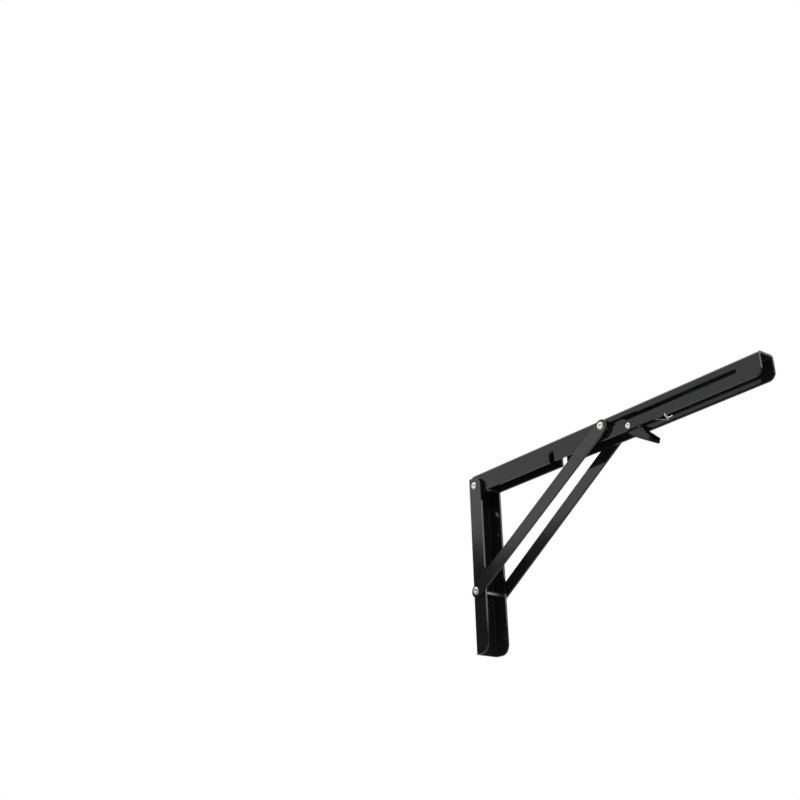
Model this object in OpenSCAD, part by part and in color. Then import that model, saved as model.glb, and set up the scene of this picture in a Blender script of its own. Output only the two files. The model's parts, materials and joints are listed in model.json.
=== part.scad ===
// Folding drop leaf table bracket: a wall leg, a support arm that folds down
// against it, a pair of flat struts and a spring loaded release lever.
// The wall face is the plane x = 0, the arm runs along +X when it is open,
// and +Z is up. The origin is on the wall face, halfway between the highest
// and the lowest wall screw hole.

/* [Sheet bends] */
// Inner radius of the bends in the folded sheet
bend_in = 1; // [0.4:0.1:1.2]

/* [Wall leg] */
// Outer width of the leg channel
leg_w = 27; // [26:0.5:30]
// Depth of the leg flanges, measured out from the wall
leg_depth = 18.5; // [18:0.5:20]
// Sheet thickness of the leg
leg_t = 2; // [1.8:0.1:2.2]
// Distance from the hinge axis up to the top of the leg
leg_top = 9; // [8:0.5:9.5]
// Distance from the hinge axis down to the bottom of the leg
leg_drop = 168; // [160:1:180]
// Corner radius at the foot of the leg flanges
leg_foot_r = 10; // [4:1:12]
// Distance of the hinge axis from the wall
hinge_x = 9.5; // [9.4:0.1:9.7]
// Distance from the hinge axis down to the strut pivot
pivot_drop = 108.5; // [102:0.5:112]

/* [Wall screw holes] */
// Distance from the hinge axis down to the upper wall screw hole
wall_hole_top = 21.5; // [19:0.5:28]
// Distance from the hinge axis down to the middle wall screw hole
wall_hole_mid = 78; // [60:1:90]
// Distance from the hinge axis down to the lower wall screw hole
wall_hole_low = 146.5; // [130:0.5:150]
// Diameter of the wall screw holes
wall_hole_d = 6; // [4:0.5:7]
// Distance from the hinge axis down to the small pilot hole
pilot_drop = 43.5; // [36:0.5:52]
// Diameter of the small pilot hole
pilot_d = 3; // [2:0.5:4]

/* [Support arm] */
// Outer width of the arm channel
arm_w = 19; // [18.5:0.5:20]
// Sheet thickness of the arm
arm_t = 2; // [1.8:0.1:2.2]
// Distance of the arm's free end from the wall
arm_reach = 353; // [346:1:375]
// Height of the arm's top face above the hinge axis
arm_rise = 14.2; // [13.5:0.1:16]
// Depth of the arm flanges below the hinge axis
arm_sink = 6.5; // [6:0.1:6.8]
// Corner radius at the free end of the arm flanges
arm_nose_r = 7; // [3:0.5:9]
// Corner radius at the back of the arm flanges
arm_heel_r = 3; // [1:0.5:4]
// Diameter of the table screw holes
table_hole_d = 5; // [4:0.5:6]
// Distance of the first table screw hole from the wall
table_hole_start = 40; // [30:1:60]
// Spacing of the table screw holes
table_hole_gap = 90; // [80:1:95]
// Number of table screw holes
table_holes = 4; // [2:1:4]

/* [Slot and notches] */
// Height of the slot line above the hinge axis
slot_rise = 4.9; // [4.6:0.1:5.4]
// Free height under the sliding pin in the slot
slot_under = 0.7; // [0.5:0.1:0.9]
// Extra height of the pocket at the inner end of the slot
pocket_extra = 0.9; // [0.5:0.1:1.2]
// How far the pocket reaches past the lever rivet
pocket_past = 9; // [6:0.5:14]
// Width of the notch that clears the strut pivot when folded
notch_w = 6.8; // [6:0.2:9]
// Height of that notch above the hinge axis
notch_rise = 4.5; // [3.5:0.1:5]
// Width of the small notch that the spring hooks in
hook_notch_w = 2.6; // [2:0.1:3.4]
// Depth of the small notch that the spring hooks in
hook_notch_h = 1.4; // [1:0.1:1.8]

/* [Struts] */
// Distance from the hinge to the sliding pin along the open arm
pin_out = 177.5; // [170:0.5:180]
// Width of the flat struts
strut_w = 13; // [11:0.5:14]
// Thickness of the flat struts
strut_t = 2; // [1.6:0.1:2.4]
// Gap between the leg and the inner face of a strut at its lower end
strut_gap_low = 1.7; // [1.5:0.1:2]
// Gap between the arm and the inner face of a strut at its upper end
strut_gap_high = 2.7; // [2.4:0.1:3]

/* [Pins and rivets] */
// Diameter of the hinge rivet
hinge_pin_d = 4.5; // [3.5:0.1:5]
// Diameter of the lower strut rod
rod_d = 4; // [3:0.1:4.5]
// Diameter of the sliding pin
slide_pin_d = 3.4; // [3:0.1:3.6]
// Diameter of the lever rivet
lever_pin_d = 3.5; // [3:0.1:3.8]
// Diameter of the large rivet heads
head_d = 8.6; // [8:0.1:9.4]
// Diameter of the lever rivet heads
lever_head_d = 6.6; // [6:0.1:7]
// Height of the large rivet heads
head_h = 1.4; // [1:0.1:1.6]
// Height of the lever rivet heads
lever_head_h = 1.1; // [0.8:0.1:1.3]
// Diameter of the flat washers
washer_d = 9; // [8.6:0.1:9.4]
// Diameter of the spacers on the sliding pin
spacer_d = 6.8; // [6:0.1:7.4]
// Radial clearance of a pin that turns in its hole
run_gap = 0.05; // [0.03:0.01:0.08]

/* [Release lever] */
// Distance from the hinge to the lever rivet along the open arm
lever_out = 205; // [203:0.5:210]
// Depth of the lever rivet below the hinge axis
lever_sink = 3.2; // [3:0.1:3.4]
// Sheet thickness of the lever
lever_t = 1.5; // [1.2:0.1:1.6]
// Side gap between the lever and the arm flanges
lever_side_gap = 0.3; // [0.2:0.1:0.6]
// Radius of the lever's ears round the lever rivet
lever_ear_r = 4.2; // [3.8:0.1:4.6]
// Length of the lever nose, from the lever rivet toward the sliding pin
nose_len = 23.5; // [20:0.5:24]
// Depth of the lever nose
nose_depth = 4.2; // [3.6:0.2:5]
// Corner radius at the tip of the lever nose
nose_r = 1.6; // [0.8:0.2:2]
// Clearance between the lever nose and the path of the sliding pin
nose_gap = 0.25; // [0.2:0.05:0.4]
// Length of the lever tail, along its open side
tail_len = 22.5; // [19:0.5:26]
// Slope of the open side of the lever tail
tail_slope = 44.5; // [42:0.5:47]
// Width of the lever tail where it leaves the arm
tail_w = 8.7; // [8:0.1:9.4]
// Width of the lever tail at its end
tail_end_w = 4.8; // [4:0.2:6]
// How far the lower corner of the tail reaches past the upper one
tail_skew = 2.4; // [1:0.2:3.2]
// Where the closed underside of the tail starts, along the tail
web_from = 9.5; // [8:0.5:12]

/* [Lever spring] */
// Diameter of the spring wire
wire_d = 1.2; // [1:0.1:1.3]
// Number of turns of the spring
spring_turns = 4; // [3:1:5]
// Pitch of the spring turns
spring_pitch = 1.45; // [1.4:0.05:1.6]
// Radius of the spring turns, to the middle of the wire
coil_r = 3.1; // [3:0.05:3.3]
// Slope of the short leg that presses on the lever tail
short_leg_slope = 53; // [51:1:56]
// Distance of the spring's hook from the lever rivet
hook_out = 41; // [38:0.5:44]
// Depth of the hook's bend below the arm flange
hook_dip = 3.5; // [2.5:0.5:4]
// Length of the hook's end, outside the flange
hook_end = 6; // [3:0.5:8]
// Clearance between the spring wire and what it bears on
wire_gap = 0.15; // [0.1:0.05:0.2]

/* [Hidden] */
$fn = 64;
cut = 1;

// the origin lies halfway between the outer wall screw holes
hinge_z = (wall_hole_top + wall_hole_low) / 2;
arm_top = arm_rise;
arm_low = -arm_sink;
arm_inner = arm_w / 2 - arm_t;
leg_inner = leg_w / 2 - leg_t;
// clearances between faces that lie beside each other
face_gap = 0.05;
washer_gap = 0.1;
head_gap = 0.15;
pivot_gap = 0.2;
heel_gap = 0.3;
heel_r = hinge_x - leg_t - heel_gap;

// strut geometry from the three pivots
strut_fall = pivot_drop + slot_rise;
strut_len = sqrt(pin_out * pin_out + strut_fall * strut_fall);
strut_angle = atan2(strut_fall, pin_out);
y_low = leg_w / 2 + strut_gap_low;
y_high = arm_w / 2 + strut_gap_high;
strut_lean = asin((y_low - y_high) / strut_len);
strut_end_r = strut_w / 2;

// where the sliding pin lies when the arm is folded down
pin_in = pivot_drop + sqrt(strut_len * strut_len - slot_rise * slot_rise);
slot_end_gap = 0.3;
slot_h = slide_pin_d + 0.1 + slot_under;
slot_z = slot_rise + 0.1 / 2 - slot_under / 2;
slot_r = slot_h / 2;
slot_from = pin_out - slide_pin_d / 2 - slot_end_gap + slot_r;
slot_to = pin_in + slide_pin_d / 2 + slot_end_gap - slot_r;

lever_w = arm_w - 2 * arm_t - 2 * lever_side_gap;
lever_z = -lever_sink;
nose_top = slot_rise - slide_pin_d / 2 - nose_gap;

// a plain cylinder along Y between two values of y
module bar_y(r, y1, y2) {
    translate([0, y1, 0])
        rotate([-90, 0, 0])
            cylinder(r = r, h = y2 - y1);
}

// a flat outline drawn in x and z, given a thickness between two values of y
module plate_y(y1, y2) {
    translate([0, y2, 0])
        rotate([90, 0, 0])
            linear_extrude(height = y2 - y1)
                children();
}

// a rectangle in x and y from x = 0, with its two corners there rounded
module blunt_2d(w, depth, r) {
    translate([r, -w / 2])
        square([depth - r, w]);
    translate([0, -w / 2 + r])
        square([2 * r, w - 2 * r]);
    for (s = [-1, 1])
        translate([r, s * (w / 2 - r)])
            circle(r = r);
}

// a channel section: the web lies on the y axis and the flanges reach to +x
module channel_2d(w, depth, t) {
    difference() {
        blunt_2d(w, depth, t + bend_in);
        translate([t, 0])
            blunt_2d(w - 2 * t, depth, bend_in);
    }
}

// a domed rivet head with a shallow dimple, standing on y = 0 toward -y
module head(d, h) {
    ball = (d * d / 4 + h * h) / (2 * h);
    difference() {
        intersection() {
            translate([0, ball - h, 0])
                sphere(r = ball);
            bar_y(d / 2, -h - 1, 0);
        }
        translate([0, -h - 0.6, 0])
            sphere(r = 1.15);
    }
}

// a rivet along Y: a straight shank with a head at both ends
module rivet(d, hd, hh, y_face) {
    bar_y(d / 2, -y_face, y_face);
    for (s = [0, 1])
        mirror([0, s, 0])
            translate([0, -y_face, 0])
                head(hd, hh);
}

// a ring along Y
module ring_y(d, hole, y1, y2) {
    difference() {
        bar_y(d / 2, y1, y2);
        bar_y(hole / 2, y1 - cut, y2 + cut);
    }
}

// outline of a slot with round ends
module slot_2d(x1, x2, z, r) {
    translate([x1, z - r])
        square([x2 - x1, 2 * r]);
    for (x = [x1, x2])
        translate([x, z])
            circle(r = r);
}

// side outline of the leg, with the hinge axis at the origin
module leg_side_2d() {
    ear_r = leg_depth - hinge_x;
    translate([-hinge_x, -leg_drop + leg_foot_r])
        square([leg_depth, leg_drop - leg_foot_r + leg_top - ear_r]);
    translate([-hinge_x, -leg_drop])
        square([leg_depth - leg_foot_r, leg_drop + leg_top]);
    translate([leg_depth - hinge_x - leg_foot_r, -leg_drop + leg_foot_r])
        circle(r = leg_foot_r);
    translate([0, leg_top - ear_r])
        circle(r = ear_r);
}

module wall_leg() {
    color([0.055, 0.055, 0.06])
    translate([0, 0, hinge_z])
    difference() {
        intersection() {
            translate([0, 0, -leg_drop])
                linear_extrude(height = leg_drop + leg_top)
                    channel_2d(leg_w, leg_depth, leg_t);
            translate([hinge_x, 0, 0])
                plate_y(-leg_w, leg_w)
                    leg_side_2d();
        }
        translate([hinge_x, 0, 0])
            bar_y(hinge_pin_d / 2 + run_gap, -leg_w, leg_w);
        translate([hinge_x, 0, -pivot_drop])
            bar_y(rod_d / 2 + run_gap, -leg_w, leg_w);
        for (h = [[wall_hole_top, wall_hole_d], [wall_hole_mid, wall_hole_d],
                  [wall_hole_low, wall_hole_d], [pilot_drop, pilot_d]])
            translate([-cut, 0, -h[0]])
                rotate([0, 90, 0])
                    cylinder(d = h[1], h = leg_t + 2 * cut);
    }
}

// side outline of the arm, with the hinge axis at the origin
module arm_side_2d() {
    reach = arm_reach - hinge_x;
    intersection() {
        union() {
            translate([0, arm_low])
                square([reach - arm_nose_r, arm_top - arm_low]);
            translate([0, arm_low + arm_nose_r])
                square([reach, arm_top - arm_low - arm_nose_r]);
            translate([reach - arm_nose_r, arm_low + arm_nose_r])
                circle(r = arm_nose_r);
            circle(r = heel_r);
            translate([-heel_r, 0])
                square([heel_r, arm_top - arm_heel_r]);
            translate([-heel_r + arm_heel_r, 0])
                square([heel_r, arm_top]);
            translate([-heel_r + arm_heel_r, arm_top - arm_heel_r])
                circle(r = arm_heel_r);
        }
        translate([-2 * heel_r, arm_low])
            square([reach + 3 * heel_r, arm_top - arm_low]);
    }
}

module support_arm() {
    color([0.06, 0.06, 0.065])
    translate([hinge_x, 0, hinge_z])
    difference() {
        intersection() {
            translate([-hinge_x, 0, arm_top])
                rotate([0, 90, 0])
                    linear_extrude(height = arm_reach + cut)
                        channel_2d(arm_w, arm_top - arm_low, arm_t);
            plate_y(-arm_w, arm_w)
                arm_side_2d();
        }
        bar_y(hinge_pin_d / 2 + run_gap, -arm_w, arm_w);
        translate([lever_out, 0, lever_z])
            bar_y(lever_pin_d / 2 + run_gap, -arm_w, arm_w);
        // the long slot, its pocket and the clearance notch
        plate_y(-arm_w, arm_w) {
            slot_2d(slot_from, slot_to, slot_z, slot_r);
            slot_2d(slot_from, lever_out + pocket_past,
                    slot_z + pocket_extra, slot_r);
            translate([pivot_drop - notch_w / 2, arm_low - cut])
                square([notch_w, notch_rise - notch_w / 2 - arm_low + cut]);
            translate([pivot_drop, notch_rise - notch_w / 2])
                circle(r = notch_w / 2);
        }
        // the spring's notch is in the left flange only
        translate([lever_out + hook_out - hook_notch_w / 2, 0, arm_low - cut])
            plate_y(-arm_w, -arm_inner + cut)
                square([hook_notch_w, hook_notch_h + cut]);
        for (i = [0 : table_holes - 1])
            translate([table_hole_start + i * table_hole_gap - hinge_x, 0,
                       arm_top - arm_t - cut])
                cylinder(d = table_hole_d, h = arm_t + 2 * cut);
    }
}

// places a strut's own frame: x along the strut from the rod to the sliding
// pin, y = 0 on the inner face at the rod, and outward toward -y
module strut_frame(side) {
    translate([hinge_x, 0, hinge_z - pivot_drop])
        mirror([0, side > 0 ? 1 : 0, 0])
            rotate([0, -strut_angle, 0])
                translate([0, -y_low, 0])
                    rotate([0, 0, strut_lean])
                        children();
}

module strut(side) {
    color([0.06, 0.06, 0.065])
    strut_frame(side)
    difference() {
        plate_y(-strut_t, 0) {
            translate([0, -strut_end_r])
                square([strut_len, strut_w]);
            circle(r = strut_end_r);
            translate([strut_len, 0])
                circle(r = strut_end_r);
        }
        bar_y(rod_d / 2 + run_gap, -strut_t - cut, cut);
        translate([strut_len, 0, 0])
            bar_y(slide_pin_d / 2 + run_gap, -strut_t - cut, cut);
    }
}

module strut_left() {
    strut(-1);
}

module strut_right() {
    strut(1);
}

module hinge_rivet() {
    color([0.8, 0.8, 0.78])
    translate([hinge_x, 0, hinge_z])
        rivet(hinge_pin_d, head_d, head_h, leg_w / 2);
}

module hinge_washers() {
    color([0.6, 0.6, 0.6])
    translate([hinge_x, 0, hinge_z])
        for (s = [0, 1])
            mirror([0, s, 0])
                ring_y(washer_d, hinge_pin_d + 2 * run_gap,
                       -leg_inner, -arm_w / 2 - face_gap);
}

rod_face = y_low + strut_t + head_gap;

module strut_rod() {
    color([0.8, 0.8, 0.78])
    translate([hinge_x, 0, hinge_z - pivot_drop])
        rivet(rod_d, head_d, head_h, rod_face);
}

module strut_washers() {
    color([0.6, 0.6, 0.6])
    translate([hinge_x, 0, hinge_z - pivot_drop])
        for (s = [0, 1])
            mirror([0, s, 0])
                ring_y(washer_d, rod_d + 2 * run_gap,
                       -y_low + washer_gap, -leg_w / 2);
}

pin_face = y_high - pivot_gap;

module sliding_pin() {
    color([0.7, 0.7, 0.7])
    translate([hinge_x + pin_out, 0, hinge_z + slot_rise])
        bar_y(slide_pin_d / 2, -pin_face, pin_face);
}

module pin_spacers() {
    color([0.6, 0.6, 0.6])
    translate([hinge_x + pin_out, 0, hinge_z + slot_rise])
        for (s = [0, 1])
            mirror([0, s, 0])
                ring_y(spacer_d, slide_pin_d + 2 * run_gap,
                       -pin_face, -arm_w / 2 - 2 * face_gap);
}

module upper_rivet_ends() {
    color([0.8, 0.8, 0.78])
    for (s = [-1, 1])
        strut_frame(s)
            translate([strut_len, 0, 0]) {
                bar_y(slide_pin_d / 2, -strut_t, 0);
                translate([0, -strut_t, 0])
                    head(head_d, head_h);
            }
}

// places along the lever tail, with the lever rivet at the origin: u runs
// down the open side of the tail and v across it, toward its underside
tail_dir = [cos(tail_slope), -sin(tail_slope)];
tail_nrm = [sin(tail_slope), cos(tail_slope)];
open_side = 3.25;
function tail_pt(u, v) = u * tail_dir + (open_side - v) * tail_nrm;

// the tail's underside, where the sheet is folded
web_start = tail_pt(web_from, tail_w);
web_end = tail_pt(tail_len + tail_skew, tail_end_w);
web_dir = unit(web_end - web_start);
web_up = [-web_dir[1], web_dir[0]];
web_slope = atan2(-web_dir[1], web_dir[0]);
// the tail is drawn longer by this, then cut to its slanted end
tail_spare = 3;

// side outline of the lever, with its tail left long
module lever_side_2d() {
    nose_h = nose_top - lever_z;
    nose_low = nose_h - nose_depth;
    circle(r = lever_ear_r);
    // the nose, with a rounded upper corner at its tip
    translate([-nose_len, nose_low])
        square([nose_len - lever_ear_r, nose_depth - nose_r]);
    translate([-nose_len + nose_r, nose_low])
        square([nose_len - nose_r - lever_ear_r, nose_depth]);
    translate([-nose_len + nose_r, nose_h - nose_r])
        circle(r = nose_r);
    // the shoulder over the rivet, and the tail that hangs below the arm
    polygon([[-lever_ear_r, nose_low], [-lever_ear_r, nose_h],
             [-lever_ear_r / 3, nose_h],
             1.15 * lever_ear_r * [cos(35), sin(35)], tail_pt(5, 0),
             tail_pt(tail_len + tail_spare, 0),
             web_end + tail_spare * web_dir, web_start,
             tail_pt(0, tail_w), [-1.5 * lever_ear_r, nose_low]]);
}

// a side wall's outline, without the part that is bent into the web
module lever_wall_2d() {
    difference() {
        lever_side_2d();
        translate(web_start)
            rotate(-web_slope)
                translate([-face_gap, -tail_w])
                    square([2 * tail_len, tail_w + lever_t + bend_in]);
    }
}

// the web on the tail's underside, with its two bends, left long as well
module lever_web() {
    translate([web_start[0], 0, web_start[1]])
        rotate([0, 90 + web_slope, 0])
            mirror([1, 0, 0])
                translate([0, 0, -2 * face_gap])
                    linear_extrude(height = norm(web_end - web_start) + tail_spare)
                        channel_2d(lever_w, lever_t + bend_in + 1, lever_t);
}

// all that lies past the slanted end of the tail
module past_tail_2d() {
    open_end = tail_pt(tail_len, 0);
    end_edge = web_end - open_end;
    past = tail_len * web_dir;
    polygon([open_end - end_edge, web_end + end_edge,
             web_end + end_edge + past, open_end - end_edge + past]);
}

module release_lever() {
    color([0.06, 0.06, 0.065])
    translate([hinge_x + lever_out, 0, hinge_z + lever_z])
    difference() {
        union() {
            for (y = [-lever_w / 2, lever_w / 2 - lever_t])
                plate_y(y, y + lever_t)
                    lever_wall_2d();
            lever_web();
        }
        plate_y(-lever_w, lever_w)
            past_tail_2d();
        bar_y(lever_pin_d / 2 + run_gap, -arm_w, arm_w);
    }
}

module lever_rivet() {
    color([0.8, 0.8, 0.78])
    translate([hinge_x + lever_out, 0, hinge_z + lever_z])
        rivet(lever_pin_d, lever_head_d, lever_head_h, arm_w / 2);
}

// the spring's turns run from the short leg's end of the coil to its bottom,
// where the long leg leaves
coil_steps = 20;
coil_from = 90 - short_leg_slope;
coil_sweep = 360 * spring_turns - 90 - coil_from;
coil_half = coil_sweep / 360 * spring_pitch / 2;
coil_n = round(coil_sweep / 360 * coil_steps);
function coil_pt(k) = let (a = coil_from + k * coil_sweep)
    [coil_r * cos(a), coil_half * (1 - 2 * k), coil_r * sin(a)];

// the short leg lies inside the tail and ends on the inner face of its web
short_dir = [cos(short_leg_slope), -sin(short_leg_slope)];
short_start = coil_r * [cos(coil_from), sin(coil_from)];
short_seat = web_start + (lever_t + wire_d / 2 + wire_gap) * web_up;
short_len = (short_seat - short_start) * web_up / (short_dir * web_up);
short_tip = short_start + short_len * short_dir;

// the long leg runs inside the left flange, dips under it, comes out through
// the small notch and ends along the outer face
leg_y = -arm_inner + 3.5 * wire_d / 2;
out_y = -arm_w / 2 - wire_d / 2 - 0.2;
dip_z = arm_low - lever_z - hook_dip;
notch_z = arm_low - lever_z + hook_notch_h - wire_d / 2 - wire_gap;
long_leg = [
    [hook_out / 3, leg_y / 2 - coil_half / 2, -coil_r + 0.4],
    [hook_out * 0.63, leg_y, -coil_r + 1],
    [hook_out - 6, leg_y, dip_z + 1.7],
    [hook_out - 2.4, leg_y - 0.2, dip_z + 0.3],
    [hook_out - 0.8, leg_y - 0.7, dip_z],
    [hook_out + 0.1, leg_y - 1.4, dip_z + 1.2],
    [hook_out, leg_y - 1.9, notch_z - 1.2],
    [hook_out, -arm_inner - 0.6, notch_z],
    [hook_out, -arm_w / 2 + 0.3, notch_z],
    [hook_out + 0.4, out_y, notch_z - 0.8],
    [hook_out + 1.4, out_y - 0.2, notch_z - 2.2],
    [hook_out + hook_end, out_y - 0.2, notch_z - 3.6]];
wire_path = concat([[short_tip[0], coil_half, short_tip[1]]],
                   [for (i = [0 : coil_n]) coil_pt(i / coil_n)], long_leg);

function unit(v) = v / norm(v);
function tangent(p, i) = unit(p[min(i + 1, len(p) - 1)] - p[max(i - 1, 0)]);
function turned(r, t) = unit(r - (r * t) * t);
function ring_at(p, n, t, r, sides) = [for (k = [0 : sides - 1])
    let (a = 360 * k / sides)
    p + r * (cos(a) * n + sin(a) * cross(t, n))];

// a round wire swept along a list of points
module wire(path, r, sides) {
    n = len(path);
    nrm = [for (i = 0, v = turned([0.3, 0.2, 1], tangent(path, 0)); i < n;
                i = i + 1,
                v = i < n ? turned(v, tangent(path, i)) : v) v];
    pts = [for (i = [0 : n - 1])
        each ring_at(path[i], nrm[i], tangent(path, i), r, sides)];
    walls = [for (i = [0 : n - 2], k = [0 : sides - 1])
        let (a = i * sides + k, b = i * sides + (k + 1) % sides)
        each [[a, b, a + sides], [b, b + sides, a + sides]]];
    first = [for (k = [sides - 1 : -1 : 0]) k];
    last = [for (k = [0 : sides - 1]) (n - 1) * sides + k];
    polyhedron(points = pts, faces = concat(walls, [first], [last]));
}

module lever_spring() {
    color([0.75, 0.75, 0.74])
    translate([hinge_x + lever_out, 0, hinge_z + lever_z])
        wire(wire_path, wire_d / 2, 8);
}

wall_leg();
support_arm();
strut_left();
strut_right();
hinge_rivet();
hinge_washers();
strut_rod();
strut_washers();
sliding_pin();
pin_spacers();
upper_rivet_ends();
release_lever();
lever_rivet();
lever_spring();
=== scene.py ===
"""The looks of a drop leaf table bracket: black painted sheet steel, nickel rivets, a steel spring."""

import json
from math import cos, radians, sin, tau

import bmesh
import bpy
from mathutils import Matrix, Vector


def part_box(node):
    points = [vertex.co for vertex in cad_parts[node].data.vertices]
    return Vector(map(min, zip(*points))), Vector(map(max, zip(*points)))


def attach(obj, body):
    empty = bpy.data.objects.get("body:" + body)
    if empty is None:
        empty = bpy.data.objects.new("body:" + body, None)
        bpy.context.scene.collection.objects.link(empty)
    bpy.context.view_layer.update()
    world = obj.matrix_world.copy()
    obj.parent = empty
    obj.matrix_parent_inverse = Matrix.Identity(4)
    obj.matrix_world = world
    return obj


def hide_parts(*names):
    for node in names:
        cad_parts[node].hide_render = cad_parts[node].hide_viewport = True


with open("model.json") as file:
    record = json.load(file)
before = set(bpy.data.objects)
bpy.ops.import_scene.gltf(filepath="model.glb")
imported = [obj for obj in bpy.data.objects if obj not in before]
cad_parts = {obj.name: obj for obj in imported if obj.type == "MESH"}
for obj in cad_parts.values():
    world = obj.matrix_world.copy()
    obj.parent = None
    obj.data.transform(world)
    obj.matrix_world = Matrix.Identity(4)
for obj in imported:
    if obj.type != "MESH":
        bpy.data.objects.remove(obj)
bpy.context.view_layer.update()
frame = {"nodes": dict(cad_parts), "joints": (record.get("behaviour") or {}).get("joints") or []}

MM = 0.001

# the picture: a square one, seen from below and from the free end's side
PICTURE_SIDE = 800
SENSOR_MM = 36.0
LENS_MM = 47.486
VIEW_AZIMUTH = radians(53.42)
VIEW_ELEVATION = radians(-23.837)
VIEW_ROLL = radians(-1.061)
VIEW_DISTANCE = 1.0732
VIEW_REACH = (0.01, 50.0)
# where the near end of the hinge rivet lies in the picture
HINGE_PIXEL = (474.29, 486.21)

# the floor's height from the frame's origin, and its side
FLOOR_Z = -0.66
FLOOR_SIDE = 9.0

# places that the frame gives
JOINT_AT = {joint["name"]: Vector(joint["pos_m"]) for joint in frame["joints"] if "pos_m" in joint}
HINGE = JOINT_AT["fold"]
LEVER_PIVOT = JOINT_AT["lever_press"]
LEG_NEAR_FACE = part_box("wall_leg")[0].y
LEVER_HALF_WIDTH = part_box("release_lever")[1].y

# colours and sheen of the finishes; the arm and the lever take a bluer copy of the paint with less sheen,
# which is painted shade that darkens their faces
PAINT_RGB = (0.0168, 0.0148, 0.0154)
PAINT_SHEEN = 0.62
SHADED_PAINT_RGB = (0.0144, 0.015, 0.017)
SHADED_PAINT_SHEEN = 0.4
WORN_PAINT_RGB = (0.05, 0.05, 0.052)
NICKEL_RGB = (0.86, 0.85, 0.82)
STEEL_RGB = (0.56, 0.56, 0.55)
SPRING_RGB = (0.8, 0.79, 0.77)

# how far the sharp edges of the sheet are eased, in how many steps, and which edges count as sharp
EASE = 0.28 * MM
EASE_STEPS = 3
SHARP_ANGLE = radians(35.0)
# points of a CAD mesh that are one point, and faces that are one flat
SAME_POINT = 0.002 * MM
SAME_FLAT = radians(0.4)

# the lever's sheet and its two bends
LEVER_SHEET = 1.5 * MM
BEND_OUTER = 2.5 * MM
BEND_INNER = 1.0 * MM
BEND_STEPS = 6
# the lever's outline in millimetres from its rivet, out along the arm and up
NOSE_TOP = ((-23.2, 9.9), (-20.6, 10.1), (-17.8, 10.1), (-13.9, 10.5), (-9.7, 10.8), (-6.4, 9.4),
            (-4.0, 8.0), (-1.9, 6.7), (1.6, 5.0), (3.5, 3.2), (4.7, 1.0))
OPEN_SIDE = ((5.9, -1.2), (19.88, -14.36))
WEB_END = (18.22, -19.47)
WEB_START = (2.96, -10.55)
NOSE_LOW = ((-3.8, -3.9), (-6.3, 2.0), (-23.7, 2.0))
# how far the cut for the lever's inside reaches from where its web starts: down, out, and up and back
CUT_DOWN = 30 * MM
CUT_OUT = 40 * MM
CUT_FAR = 50 * MM
# what counts as the same place on the lever
CLOSE = 0.02 * MM

# the lever's spring in millimetres and degrees from the same rivet
WIRE_RADIUS = 0.55 * MM
COIL_RADIUS = 3.1
COIL_HALF = 2.64
COIL_FROM = 37.0
COIL_SWEEP = 1313.0
COIL_STEPS = 140
SHORT_LEG_TIP = (15.3, COIL_HALF, -15.15)
LONG_LEG = ((6.0, -3.0, -2.7), (13.7, -4.2, -0.8), (24.0, -5.4, -1.2), (30.0, -5.4, -3.2),
            (36.0, -5.4, -5.3), (39.2, -5.5, -6.7), (40.6, -6.0, -7.3), (41.2, -6.6, -6.2),
            (41.0, -7.3, -3.9), (41.0, -8.1, -2.7), (41.0, -9.2, -2.7), (41.3, -10.2, -3.3),
            (41.9, -10.5, -5.2), (42.9, -10.5, -7.2), (44.4, -10.5, -7.9), (49.6, -10.5, -7.9))

# shanks and heads of the rivets
STRUT_SHEET = 2.0 * MM
HINGE_SHANK = 2.25 * MM
ROD_SHANK = 2.0 * MM
LEVER_SHANK = 1.75 * MM
SLIDING_PIN_RADIUS = 1.7 * MM
HEAD_HEIGHT = 1.4 * MM
LEVER_HEAD_HEIGHT = 1.1 * MM
# a head's radius as a share of the CAD head's
HEAD_SIZE = 0.9
# a riveted head from its middle out: shares of its radius and of its height
HEAD_SHAPE = ((0.0, 0.7), (0.1, 0.71), (0.2, 0.78), (0.28, 0.9), (0.36, 0.97), (0.5, 1.0), (0.64, 1.0),
              (0.78, 0.96), (0.87, 0.86), (0.94, 0.68), (0.98, 0.44), (1.0, 0.16), (1.0, 0.0))
TURNED_SIDES = 72

# how bright the room is in reflections, by direction: from where to where, and the level before and after
ROOM_HIGH = (0.262, 0.292, 0.0, 1.0)
ROOM_LOW = (-0.62, -0.42, 0.03, 0.45)
ROOM_BACK = (-0.35, 0.45, 1.0, 0.25)
ROOM_RIGHT = (-0.2, 0.35, 1.0, 0.3)
ROOM_FILL = 0.45
FLOOR_GLOW = 0.45
# what the lamps face
LAMP_AIM = Vector((0.15, 0.0, 0.03))


def direction(azimuth, elevation):
    """The unit vector from the object toward a viewer at that azimuth and elevation."""
    return Vector((sin(azimuth) * cos(elevation), -cos(azimuth) * cos(elevation), sin(elevation)))


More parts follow.
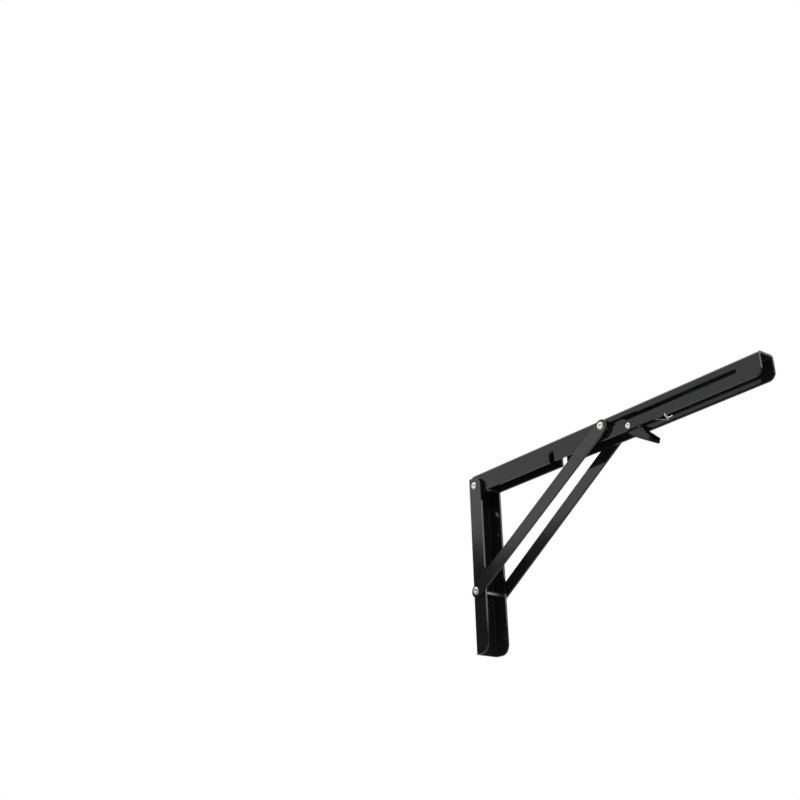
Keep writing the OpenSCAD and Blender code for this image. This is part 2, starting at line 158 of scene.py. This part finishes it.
def make_camera():
    back = direction(VIEW_AZIMUTH, VIEW_ELEVATION)
    right = Vector((cos(VIEW_AZIMUTH), sin(VIEW_AZIMUTH), 0.0))
    up = back.cross(right)
    right_rolled = cos(VIEW_ROLL) * right + sin(VIEW_ROLL) * up
    up_rolled = cos(VIEW_ROLL) * up - sin(VIEW_ROLL) * right
    focal_px = LENS_MM / SENSOR_MM * PICTURE_SIDE
    aside = (HINGE_PIXEL[0] - PICTURE_SIDE / 2) / focal_px * VIEW_DISTANCE
    above = (PICTURE_SIDE / 2 - HINGE_PIXEL[1]) / focal_px * VIEW_DISTANCE
    near_ear = Vector((HINGE.x, LEG_NEAR_FACE, HINGE.z))
    place = near_ear + VIEW_DISTANCE * back - aside * right_rolled - above * up_rolled
    data = bpy.data.cameras.new("camera")
    data.lens = LENS_MM
    data.sensor_width = SENSOR_MM
    data.clip_start, data.clip_end = VIEW_REACH
    camera = bpy.data.objects.new("camera", data)
    camera.matrix_world = Matrix.Translation(place) @ Matrix(
        (right_rolled, up_rolled, back)).transposed().to_4x4()
    bpy.context.scene.collection.objects.link(camera)
    bpy.context.scene.camera = camera


def link(name, mesh):
    piece = bpy.data.objects.new(name, mesh)
    bpy.context.scene.collection.objects.link(piece)
    return piece


# Materials

def new_group(name, inputs, output):
    """A shader node group with its number sockets, and its two end nodes."""
    group = bpy.data.node_groups.new(name, "ShaderNodeTree")
    for socket, value in inputs.items():
        made = group.interface.new_socket(socket, in_out="INPUT", socket_type="NodeSocketFloat")
        made.default_value = value
    group.interface.new_socket(output, in_out="OUTPUT", socket_type="NodeSocketFloat")
    return group, group.nodes.new("NodeGroupInput"), group.nodes.new("NodeGroupOutput")


def feed(tree, socket, value):
    """Links a socket to another one, or sets it to a plain value."""
    if isinstance(value, bpy.types.NodeSocket):
        tree.links.new(value, socket)
    else:
        socket.default_value = value


def add_math(tree, operation, first, second, clamp=False):
    node = tree.nodes.new("ShaderNodeMath")
    node.operation = operation
    node.use_clamp = clamp
    feed(tree, node.inputs[0], first)
    feed(tree, node.inputs[1], second)
    return node.outputs[0]


def add_noise(tree, vector, scale, detail, roughness):
    node = tree.nodes.new("ShaderNodeTexNoise")
    node.inputs["Detail"].default_value = detail
    node.inputs["Roughness"].default_value = roughness
    feed(tree, node.inputs["Scale"], scale)
    feed(tree, node.inputs["Vector"], vector)
    return node.outputs["Fac"]


def blotches_group():
    """Slow uneven tone of a handled surface, between two levels."""
    group, inside, outside = new_group("blotches", {"Scale": 30.0, "Low": 0.0, "High": 1.0}, "Level")
    coords = group.nodes.new("ShaderNodeTexCoord")
    noise = add_noise(group, coords.outputs["Object"], inside.outputs["Scale"], 4.0, 0.62)
    spread = group.nodes.new("ShaderNodeMapRange")
    spread.inputs["From Min"].default_value = 0.32
    spread.inputs["From Max"].default_value = 0.68
    group.links.new(noise, spread.inputs["Value"])
    group.links.new(inside.outputs["Low"], spread.inputs["To Min"])
    group.links.new(inside.outputs["High"], spread.inputs["To Max"])
    group.links.new(spread.outputs["Result"], outside.inputs["Level"])
    return group


def grain_group():
    """Height of a fine grain on top of a slower waviness."""
    group, inside, outside = new_group(
        "grain", {"Fine Scale": 1800.0, "Wave Scale": 350.0, "Wave Share": 0.6}, "Height")
    coords = group.nodes.new("ShaderNodeTexCoord")
    fine = add_noise(group, coords.outputs["Object"], inside.outputs["Fine Scale"], 2.0, 0.5)
    wave = add_noise(group, coords.outputs["Object"], inside.outputs["Wave Scale"], 1.0, 0.5)
    mix = group.nodes.new("ShaderNodeMix")
    group.links.new(inside.outputs["Wave Share"], mix.inputs["Factor"])
    group.links.new(fine, mix.inputs["A"])
    group.links.new(wave, mix.inputs["B"])
    group.links.new(mix.outputs["Result"], outside.inputs["Height"])
    return group


def edge_group():
    """A mask that is bright on sharp outer edges, where a finish is thin or rubbed."""
    group, inside, outside = new_group("rubbed_edges", {"Radius": 0.0005, "Strength": 1.0}, "Mask")
    bevel = group.nodes.new("ShaderNodeBevel")
    bevel.samples = 4
    group.links.new(inside.outputs["Radius"], bevel.inputs["Radius"])
    geometry = group.nodes.new("ShaderNodeNewGeometry")
    dot = group.nodes.new("ShaderNodeVectorMath")
    dot.operation = "DOT_PRODUCT"
    group.links.new(bevel.outputs["Normal"], dot.inputs[0])
    group.links.new(geometry.outputs["True Normal"], dot.inputs[1])
    turned = add_math(group, "SUBTRACT", 1.0, dot.outputs["Value"])
    coords = group.nodes.new("ShaderNodeTexCoord")
    breaks = add_noise(group, coords.outputs["Object"], 700.0, 3.0, 0.6)
    broken = add_math(group, "MULTIPLY", turned, breaks)
    mask = add_math(group, "MULTIPLY", broken, inside.outputs["Strength"], clamp=True)
    group.links.new(mask, outside.inputs["Mask"])
    return group


BLOTCHES = blotches_group()
GRAIN = grain_group()
EDGES = edge_group()


def place_group(tree, group, **values):
    """Places a group in a material with its own values, and gives its one output."""
    node = tree.nodes.new("ShaderNodeGroup")
    node.node_tree = group
    for name, value in values.items():
        node.inputs[name.replace("_", " ")].default_value = value
    return node.outputs[0]


def new_material(name):
    material = bpy.data.materials.new(name)
    material.use_nodes = True
    tree = material.node_tree
    return material, tree, tree.nodes["Principled BSDF"]


def blend(tree, factor, first, second):
    """A colour between two, either of which may be a socket."""
    mix = tree.nodes.new("ShaderNodeMix")
    mix.data_type = "RGBA"
    for socket, colour in (("A", first), ("B", second)):
        if not isinstance(colour, bpy.types.NodeSocket):
            colour = (*colour, 1.0)
        feed(tree, mix.inputs[socket], colour)
    tree.links.new(factor, mix.inputs["Factor"])
    return mix.outputs["Result"]


def times(share, colour):
    return [share * c for c in colour]


def bump(tree, shader, height, depth):
    node = tree.nodes.new("ShaderNodeBump")
    node.inputs["Strength"].default_value = 1.0
    node.inputs["Distance"].default_value = depth
    tree.links.new(height, node.inputs["Height"])
    tree.links.new(node.outputs["Normal"], shader.inputs["Normal"])


def black_paint(name, colour, sheen):
    """Semi-gloss black paint: a faint orange peel, uneven gloss, thin on its edges."""
    material, tree, shader = new_material(name)
    shader.inputs["Specular IOR Level"].default_value = sheen
    tone = place_group(tree, BLOTCHES, Scale=22.0, Low=0.0, High=1.0)
    base = blend(tree, tone, times(0.9, colour), times(1.1, colour))
    edges = place_group(tree, EDGES, Radius=0.0005, Strength=2.2)
    worn = blend(tree, edges, base, WORN_PAINT_RGB)
    tree.links.new(worn, shader.inputs["Base Color"])
    gloss = place_group(tree, BLOTCHES, Scale=60.0, Low=0.07, High=0.12)
    tree.links.new(gloss, shader.inputs["Roughness"])
    peel = place_group(tree, GRAIN, Fine_Scale=1500.0, Wave_Scale=420.0, Wave_Share=0.7)
    bump(tree, shader, peel, 0.01 * MM)
    return material


def bare_metal(name, colour, dark_share, smoothest, roughest, depth):
    """A bare or plated metal with fine marks and uneven brightness."""
    material, tree, shader = new_material(name)
    shader.inputs["Metallic"].default_value = 1.0
    tone = place_group(tree, BLOTCHES, Scale=260.0, Low=0.0, High=1.0)
    base = blend(tree, tone, times(dark_share, colour), colour)
    tree.links.new(base, shader.inputs["Base Color"])
    gloss = place_group(tree, BLOTCHES, Scale=420.0, Low=smoothest, High=roughest)
    tree.links.new(gloss, shader.inputs["Roughness"])
    marks = place_group(tree, GRAIN, Fine_Scale=2600.0, Wave_Scale=700.0, Wave_Share=0.5)
    bump(tree, shader, marks, depth)
    return material


PAINT = black_paint("black_paint", PAINT_RGB, PAINT_SHEEN)
# the arm's and the lever's copy of the paint, with less sheen: painted shade that darkens their faces
SHADED_PAINT = black_paint("black_paint_shaded", SHADED_PAINT_RGB, SHADED_PAINT_SHEEN)
NICKEL = bare_metal("nickel", NICKEL_RGB, dark_share=0.9, smoothest=0.28, roughest=0.4, depth=0.02 * MM)
STEEL = bare_metal("steel", STEEL_RGB, dark_share=0.7, smoothest=0.3, roughest=0.46, depth=0.04 * MM)
SPRING_STEEL = bare_metal(
    "spring_steel", SPRING_RGB, dark_share=0.8, smoothest=0.2, roughest=0.3, depth=0.02 * MM)

FINISH = {
    "wall_leg": PAINT, "strut_left": PAINT, "strut_right": PAINT,
    # the arm and the lever take the copy of the paint with less sheen, as painted shade
    "support_arm": SHADED_PAINT, "release_lever": SHADED_PAINT,
    "hinge_rivet": NICKEL, "strut_rod": NICKEL, "upper_rivet_ends": NICKEL, "lever_rivet": NICKEL,
    "hinge_washers": STEEL, "strut_washers": STEEL, "sliding_pin": STEEL, "pin_spacers": STEEL,
    "lever_spring": SPRING_STEEL,
}


def finish(mesh, material):
    mesh.materials.clear()
    mesh.materials.append(material)


# Pieces with eased edges

def applied(piece):
    """Fixes a piece's modifiers into its mesh."""
    bpy.context.view_layer.update()
    depsgraph = bpy.context.evaluated_depsgraph_get()
    solid = bpy.data.meshes.new_from_object(piece.evaluated_get(depsgraph))
    piece.modifiers.clear()
    piece.data = solid


def keep_flats(piece):
    """Shades the flat faces of a smooth piece as flat."""
    piece.modifiers.new("flat_faces", "WEIGHTED_NORMAL").keep_sharp = False


def ease(piece):
    """Rounds the sharp edges of a piece, as rumbling and paint do, and keeps its flats flat."""
    bevel = piece.modifiers.new("eased_edges", "BEVEL")
    bevel.width = EASE
    bevel.segments = EASE_STEPS
    bevel.limit_method = "ANGLE"
    bevel.angle_limit = SHARP_ANGLE
    bevel.use_clamp_overlap = True
    keep_flats(piece)
    applied(piece)


def dress(piece, body, slot, *nodes):
    """Hangs a piece on the body that it rides on, and hides the CAD nodes that it stands for; the slot, for
    its finish's name, is not used.
    """
    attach(piece, body)
    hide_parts(*nodes)


def make_sheet_piece(node, name, body):
    """A copy of a CAD node's solid with eased edges."""
    mesh = frame["nodes"][node].data.copy()
    form = bmesh.new()
    form.from_mesh(mesh)
    bmesh.ops.remove_doubles(form, verts=form.verts, dist=SAME_POINT)
    bmesh.ops.dissolve_limit(form, angle_limit=SAME_FLAT, verts=form.verts, edges=form.edges)
    form.to_mesh(mesh)
    form.free()
    mesh.name = name
    mesh.shade_smooth()
    piece = link(name, mesh)
    ease(piece)
    finish(piece.data, FINISH[node])
    dress(piece, body, "black_paint", node)


# Release lever

def from_rivet(x, y, z):
    """A point given in millimetres from the lever's rivet, out, across and up."""
    return LEVER_PIVOT + MM * Vector((x, y, z))


def prism(name, outline, half_width):
    """A plate across the bracket, with an outline given in millimetres from the lever's rivet."""
    form = bmesh.new()
    across = half_width / MM
    rings = [[form.verts.new(from_rivet(x, side * across, z)) for x, z in outline] for side in (-1, 1)]
    form.faces.new(rings[0])
    form.faces.new(list(reversed(rings[1])))
    for i in range(len(outline)):
        k = (i + 1) % len(outline)
        form.faces.new((rings[0][i], rings[1][i], rings[1][k], rings[0][k]))
    bmesh.ops.recalc_face_normals(form, faces=form.faces)
    mesh = bpy.data.meshes.new(name)
    form.to_mesh(mesh)
    form.free()
    return link(name, mesh)


def cut_away(piece, tool):
    modifier = piece.modifiers.new("cut", "BOOLEAN")
    modifier.operation = "DIFFERENCE"
    modifier.solver = "EXACT"
    modifier.object = tool
    applied(piece)
    bpy.data.objects.remove(tool)


def weigh_bends(piece, start, along, up):
    """Marks the four long edges of the lever's web, so that its bends can be rounded."""
    def all_at(values, target):
        return all(abs(value - target) < CLOSE for value in values)

    bends = ((0.0, LEVER_HALF_WIDTH, 1.0),
             (LEVER_SHEET, LEVER_HALF_WIDTH - LEVER_SHEET, BEND_INNER / BEND_OUTER))
    form = bmesh.new()
    form.from_mesh(piece.data)
    weight = form.edges.layers.float.new("bevel_weight_edge")
    for edge in form.edges:
        ends = [v.co - start for v in edge.verts]
        heights = [end.dot(up) for end in ends]
        sides = [abs(v.co.y) for v in edge.verts]
        for height, side, share in bends:
            if (min(end.dot(along) for end in ends) > -CLOSE
                    and all_at(heights, height) and all_at(sides, side)):
                edge[weight] = share
    form.to_mesh(piece.data)
    form.free()


def make_lever():
    """The U shaped lever, folded along its underside, with its nose standing in the slot."""
    outline = NOSE_TOP + OPEN_SIDE + (WEB_END, WEB_START) + NOSE_LOW
    lever = prism("lever", outline, LEVER_HALF_WIDTH)
    start = from_rivet(WEB_START[0], 0.0, WEB_START[1])
    along = (from_rivet(WEB_END[0], 0.0, WEB_END[1]) - start).normalized()
    up = Vector((-along.z, 0.0, along.x))
    hollow = [(0.0, -CUT_DOWN), (0.0, LEVER_SHEET), (CUT_OUT, LEVER_SHEET),
              (CUT_OUT, CUT_FAR), (-CUT_FAR, CUT_FAR), (-CUT_FAR, -CUT_DOWN)]
    corners = [start + a * along + u * up - LEVER_PIVOT for a, u in hollow]
    inside = prism("inside", [(corner.x / MM, corner.z / MM) for corner in corners],
                   LEVER_HALF_WIDTH - LEVER_SHEET)
    cut_away(lever, inside)
    weigh_bends(lever, start, along, up)
    rounding = lever.modifiers.new("bends", "BEVEL")
    rounding.width = BEND_OUTER
    rounding.segments = BEND_STEPS
    rounding.limit_method = "WEIGHT"
    applied(lever)
    lever.data.shade_smooth()
    ease(lever)
    finish(lever.data, FINISH["release_lever"])
    dress(lever, "lever", "black_paint", "release_lever")


# Lever spring

def through(points, steps=6):
    """A smooth line through points, on Catmull-Rom curves."""
    points = [Vector(point) for point in points]
    last = len(points) - 1
    line = []
    for i in range(last):
        before, start, end, after = (points[min(max(k, 0), last)] for k in range(i - 1, i + 3))
        for step in range(steps):
            t = step / steps
            line.append(0.5 * (2 * start + (end - before) * t
                               + (2 * before - 5 * start + 4 * end - after) * t ** 2
                               + (3 * start - before - 3 * end + after) * t ** 3))
    return line + [points[-1]]


def wire(name, points):
    """A round wire along points that are given in millimetres from the lever's rivet."""
    curve = bpy.data.curves.new(name, "CURVE")
    curve.dimensions = "3D"
    curve.bevel_depth = WIRE_RADIUS
    curve.bevel_resolution = 4
    curve.use_fill_caps = True
    spline = curve.splines.new("POLY")
    spline.points.add(len(points) - 1)
    for knot, point in zip(spline.points, points):
        knot.co = (*from_rivet(*point), 1.0)
    piece = link(name, curve)
    bpy.context.view_layer.update()
    mesh = bpy.data.meshes.new_from_object(piece.evaluated_get(bpy.context.evaluated_depsgraph_get()))
    bpy.data.objects.remove(piece)
    mesh.name = name
    mesh.shade_smooth()
    finish(mesh, FINISH["lever_spring"])
    return link(name, mesh)


def coil_point(share):
    """A point of the coil's wire, that share of its way along."""
    angle = radians(COIL_FROM + share * COIL_SWEEP)
    return COIL_RADIUS * cos(angle), COIL_HALF * (1.0 - 2.0 * share), COIL_RADIUS * sin(angle)


def make_spring():
    """A coil round the lever's rivet, its hooked leg in the arm, and its short leg in the lever."""
    turns = [coil_point(i / COIL_STEPS) for i in range(COIL_STEPS + 1)]
    coil = wire("spring_coil", turns[:-1] + through([turns[-1], *LONG_LEG]))
    short_leg = wire("spring_short_leg", through([coil_point(0.01), coil_point(0.0), SHORT_LEG_TIP]))
    dress(coil, "arm", "steel", "lever_spring")
    dress(short_leg, "lever", "steel", "lever_spring")


# Rivets

def lathe(name, profile, place):
    """A turned piece on an axis across the bracket, from pairs of radius and distance along it."""
    form = bmesh.new()
    rings = []
    for radius, across in profile:
        turns = [tau * i / TURNED_SIDES for i in range(TURNED_SIDES)] if radius else [0.0]
        rings.append([form.verts.new((radius * cos(a), across, radius * sin(a))) for a in turns])
    for first, second in zip(rings, rings[1:]):
        for i in range(TURNED_SIDES):
            k = (i + 1) % TURNED_SIDES
            corners = [first[i % len(first)], first[k % len(first)],
                       second[k % len(second)], second[i % len(second)]]
            form.faces.new(list(dict.fromkeys(corners)))
    bmesh.ops.recalc_face_normals(form, faces=form.faces)
    bmesh.ops.translate(form, verts=form.verts, vec=place)
    mesh = bpy.data.meshes.new(name)
    form.to_mesh(mesh)
    form.free()
    mesh.shade_smooth()
    finish(mesh, NICKEL)
    piece = link(name, mesh)
    keep_flats(piece)
    applied(piece)
    return piece


def head_profile(radius, height, face):
    """A riveted head on a face at that distance, from its middle out and in again to the face."""
    return [(share * HEAD_SIZE * radius, face - rise * height) for share, rise in HEAD_SHAPE]


def rivet_axis(low, high):
    """Where the axis of a rivet in that box crosses the bracket's middle plane."""
    return Vector(((low.x + high.x) / 2, 0.0, (low.z + high.z) / 2))


def make_rivet(node, name, body, shank, height):
    low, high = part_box(node)
    face = low.y + height
    near = head_profile((high.x - low.x) / 2, height, face) + [(shank, face)]
    far = [(r, -y) for r, y in reversed(near)]
    dress(lathe(name, near + far, rivet_axis(low, high)), body, "nickel", node)


def make_upper_rivet_ends():
    """The sliding pin's two ends, riveted over on the struts."""
    low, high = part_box("upper_rivet_ends")
    for name, side, outer in (("near_upper_rivet", 1, low.y), ("far_upper_rivet", -1, high.y)):
        face = HEAD_HEIGHT - abs(outer)
        end = head_profile((high.z - low.z) / 2, HEAD_HEIGHT, face) + [
            (SLIDING_PIN_RADIUS, face), (SLIDING_PIN_RADIUS, face + STRUT_SHEET), (0.0, face + STRUT_SHEET)]
        piece = lathe(name, [(r, side * y) for r, y in end], rivet_axis(low, high))
        dress(piece, "struts", "nickel", "upper_rivet_ends")


# Stage

def make_floor():
    """A pale floor that keeps the shadow, and that glossy paint mirrors as an even glow."""
    mesh = bpy.data.meshes.new("floor")
    form = bmesh.new()
    bmesh.ops.create_grid(form, x_segments=1, y_segments=1, size=FLOOR_SIDE / 2)
    form.to_mesh(mesh)
    form.free()
    floor = link("floor", mesh)
    floor.location.z = FLOOR_Z
    material, tree, shader = new_material("pale_floor")
    shader.inputs["Base Color"].default_value = (0.78, 0.78, 0.78, 1.0)
    shader.inputs["Roughness"].default_value = 0.9
    shader.inputs["Specular IOR Level"].default_value = 0.0
    paths = tree.nodes.new("ShaderNodeLightPath")
    glow = tree.nodes.new("ShaderNodeEmission")
    glow.inputs["Strength"].default_value = FLOOR_GLOW
    mix = tree.nodes.new("ShaderNodeMixShader")
    tree.links.new(paths.outputs["Is Glossy Ray"], mix.inputs["Fac"])
    tree.links.new(shader.outputs["BSDF"], mix.inputs[1])
    tree.links.new(glow.outputs["Emission"], mix.inputs[2])
    tree.links.new(mix.outputs["Shader"], tree.nodes["Material Output"].inputs["Surface"])
    mesh.materials.append(material)


def grade(tree, value, start, end, first, last):
    """Turns a value smoothly from the first level to the last one between two places."""
    node = tree.nodes.new("ShaderNodeMapRange")
    node.interpolation_type = "SMOOTHSTEP"
    for name, level in (("From Min", start), ("From Max", end), ("To Min", first), ("To Max", last)):
        node.inputs[name].default_value = level
    tree.links.new(value, node.inputs["Value"])
    return node.outputs["Result"]


def make_world():
    """A pale room: white to the camera; in reflections bright above, dim below and at the back right."""
    world = bpy.data.worlds.new("pale_room")
    bpy.context.scene.world = world
    world.use_nodes = True
    tree = world.node_tree
    tree.nodes.clear()
    output = tree.nodes.new("ShaderNodeOutputWorld")
    seen = tree.nodes.new("ShaderNodeBackground")
    seen.inputs["Strength"].default_value = 1.0
    fill = tree.nodes.new("ShaderNodeBackground")
    fill.inputs["Color"].default_value = (1.0, 1.0, 1.0, 1.0)
    fill.inputs["Strength"].default_value = ROOM_FILL
    coords = tree.nodes.new("ShaderNodeTexCoord")
    parts = tree.nodes.new("ShaderNodeSeparateXYZ")
    tree.links.new(coords.outputs["Generated"], parts.inputs["Vector"])
    lit = add_math(tree, "MAXIMUM", grade(tree, parts.outputs["Z"], *ROOM_HIGH),
                   grade(tree, parts.outputs["X"], *ROOM_LOW))
    sides = add_math(tree, "MULTIPLY", grade(tree, parts.outputs["Y"], *ROOM_BACK),
                     grade(tree, parts.outputs["X"], *ROOM_RIGHT))
    shade = add_math(tree, "MULTIPLY", lit, sides)
    paths = tree.nodes.new("ShaderNodeLightPath")
    camera_or_clear = add_math(tree, "MAXIMUM", paths.outputs["Is Camera Ray"],
                               paths.outputs["Is Transmission Ray"])
    tone = tree.nodes.new("ShaderNodeMix")
    tree.links.new(camera_or_clear, tone.inputs["Factor"])
    tree.links.new(shade, tone.inputs["A"])
    tone.inputs["B"].default_value = 1.0
    tree.links.new(tone.outputs["Result"], seen.inputs["Color"])
    shown = add_math(tree, "MAXIMUM", camera_or_clear, paths.outputs["Is Glossy Ray"])
    mix = tree.nodes.new("ShaderNodeMixShader")
    tree.links.new(shown, mix.inputs["Fac"])
    tree.links.new(fill.outputs["Background"], mix.inputs[1])
    tree.links.new(seen.outputs["Background"], mix.inputs[2])
    tree.links.new(mix.outputs["Shader"], output.inputs["Surface"])


def make_softbox(name, azimuth, elevation, distance, width, height, watts):
    """A soft lamp that faces the bracket's middle."""
    data = bpy.data.lights.new(name, "AREA")
    data.shape = "RECTANGLE"
    data.size = width
    data.size_y = height
    data.energy = watts
    lamp = bpy.data.objects.new(name, data)
    toward = direction(radians(azimuth), radians(elevation))
    lamp.matrix_world = Matrix.Translation(LAMP_AIM + distance * toward) @ toward.to_track_quat(
        "Z", "Y").to_matrix().to_4x4()
    bpy.context.scene.collection.objects.link(lamp)


make_camera()
for node, material in FINISH.items():
    finish(frame["nodes"][node].data, material)
make_sheet_piece("wall_leg", "leg_channel", "leg")
make_sheet_piece("support_arm", "arm_channel", "arm")
make_sheet_piece("strut_left", "near_strut", "struts")
make_sheet_piece("strut_right", "far_strut", "struts")
make_lever()
make_spring()
make_rivet("hinge_rivet", "hinge_rivet_turned", "leg", HINGE_SHANK, HEAD_HEIGHT)
make_rivet("strut_rod", "strut_rod_turned", "leg", ROD_SHANK, HEAD_HEIGHT)
make_rivet("lever_rivet", "lever_rivet_turned", "arm", LEVER_SHANK, LEVER_HEAD_HEIGHT)
make_upper_rivet_ends()
make_floor()
make_world()
make_softbox("key", azimuth=-105.0, elevation=52.0, distance=1.8, width=2.2, height=1.6, watts=26.0)
make_softbox("fill", azimuth=127.0, elevation=24.0, distance=1.8, width=0.9, height=0.9, watts=5.0)

bpy.context.scene.view_settings.view_transform = "Standard"
